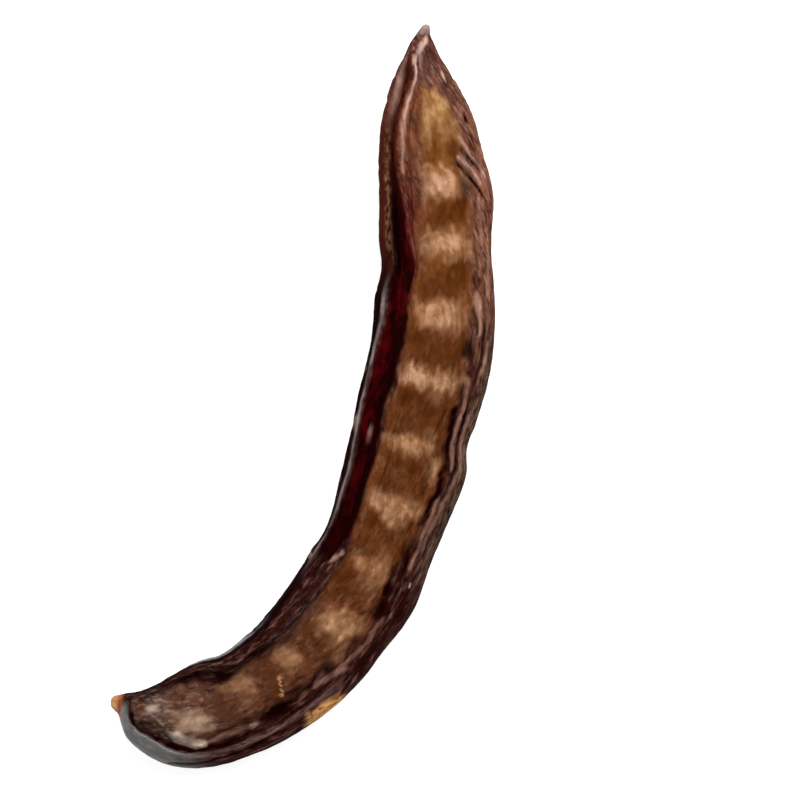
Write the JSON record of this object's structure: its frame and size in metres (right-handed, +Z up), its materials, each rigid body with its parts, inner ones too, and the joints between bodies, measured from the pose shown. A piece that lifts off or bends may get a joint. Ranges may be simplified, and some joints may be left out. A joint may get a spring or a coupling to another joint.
{
  "type": "carob pod",
  "caption": "Ripe dry carob pod, bent like a sickle, with thick rims, sunken faces swollen over the seeds, a broken stalk end and a small beak, lying on its side.",
  "frame": {"origin": "on the surface that the pod lies on, at the middle of its outline seen from above", "axes": "+Z up from the surface, +Y along the pod's length towards the stalk end, +X towards the outside of its bend"},
  "size_m": [0.07, 0.1352, 0.0171],
  "materials": {
    "pod_skin": "dry wrinkled brown skin with a satin sheen, tan over the seeds and darkest in the grooves"
  },
  "bodies": {
    "root": {"pod": "pod_skin"}
  },
  "joints": []
}
